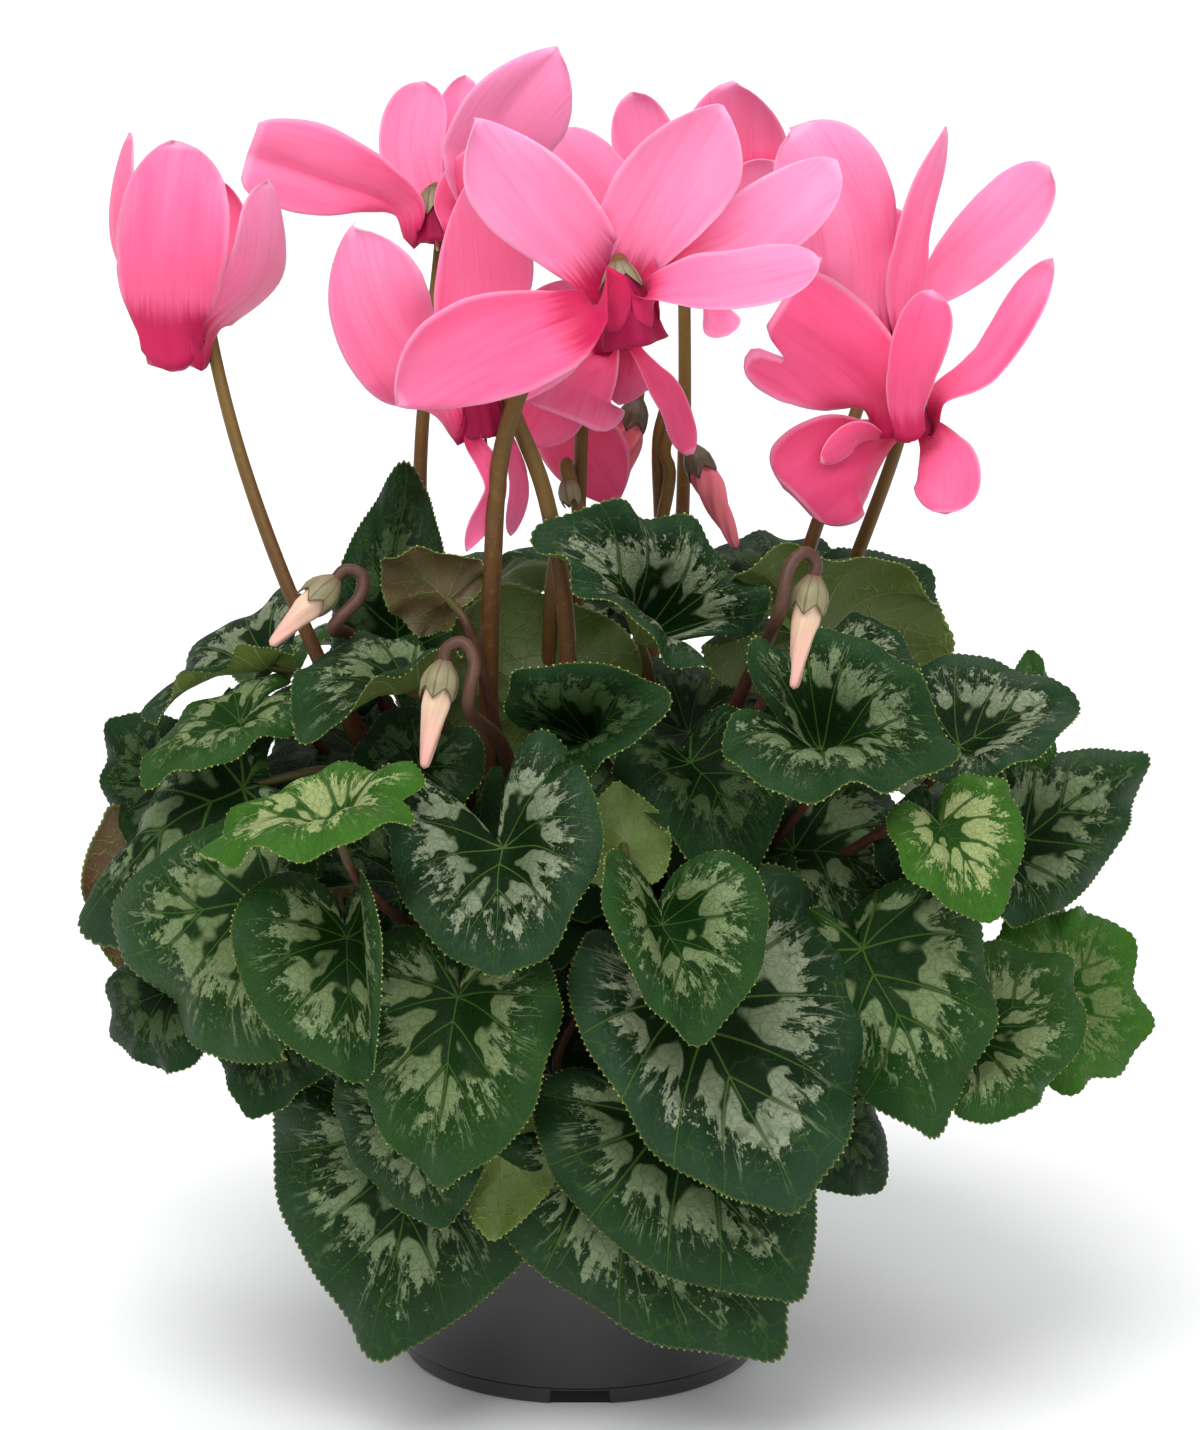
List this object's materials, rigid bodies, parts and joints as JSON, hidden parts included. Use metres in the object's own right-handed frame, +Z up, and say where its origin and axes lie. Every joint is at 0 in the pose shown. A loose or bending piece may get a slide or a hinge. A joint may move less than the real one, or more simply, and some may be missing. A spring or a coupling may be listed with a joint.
{
  "type": "potted cyclamen",
  "caption": "Flowering cyclamen in a round nursery pot: a mound of heart-shaped marbled leaves on stems, with pink swept-back flowers and hanging buds above.",
  "frame": {"origin": "middle of the pot's underside, on the surface the pot stands on", "axes": "+Z up along the pot's axis, -Y toward the front of the plant as pictured, +X to its right"},
  "size_m": [0.3004, 0.2842, 0.3779],
  "materials": {
    "leaf": "satin",
    "petal": "matte",
    "stalk": "satin",
    "bud": "matte",
    "pot": "matte",
    "soil": "matte",
    "tuber": "matte"
  },
  "bodies": {
    "root": {"leaf_hanging_left": "leaf", "leaf_hanging_right": "leaf", "leaf_low_left": "leaf", "leaf_low_right": "leaf", "leaf_right_low": "leaf", "leaf_right_edge": "leaf", "leaf_front_heart": "leaf", "leaf_front_cupped": "leaf", "leaf_left_cupped": "leaf", "leaf_left_low": "leaf", "leaf_left_young": "leaf", "leaf_left_broad": "leaf", "leaf_left_edge": "leaf", "leaf_left_upper": "leaf", "leaf_right_young": "leaf", "leaf_right_outer": "leaf", "leaf_right_upper": "leaf", "leaf_right_wavy": "leaf", "leaf_middle_tall": "leaf", "leaf_middle_cupped": "leaf", "leaf_crown_wavy": "leaf", "leaf_upper_folded": "leaf", "leaf_crown_tall": "leaf", "leaf_crown_turned": "leaf", "leaf_right_turned": "leaf", "leaf_back_right": "leaf", "leaf_back_low": "leaf", "leaf_back_middle": "leaf", "leaf_back_left": "leaf", "leaf_back_crown": "leaf", "flower_left_stalk": "stalk", "flower_left_petals": "petal", "flower_upper_left_stalk": "stalk", "flower_upper_left_petals": "petal", "flower_front_left_stalk": "stalk", "flower_front_left_petals": "petal", "flower_front_stalk": "stalk", "flower_front_petals": "petal", "flower_behind_stalk": "stalk", "flower_behind_petals": "petal", "flower_middle_low_stalk": "stalk", "flower_middle_low_petals": "petal", "flower_upper_right_stalk": "stalk", "flower_upper_right_petals": "petal", "flower_right_stalk": "stalk", "flower_right_petals": "petal", "stalk_bare": "stalk", "bud_left_stalk": "stalk", "bud_left_petals": "bud", "bud_front_left_stalk": "stalk", "bud_front_left_petals": "bud", "bud_front_right_stalk": "stalk", "bud_front_right_petals": "bud", "bud_middle_stalk": "stalk", "bud_middle_petals": "bud", "bud_behind_stalk": "stalk", "bud_behind_petals": "bud", "pot": "pot", "soil": "soil", "tuber": "tuber"}
  },
  "joints": []
}
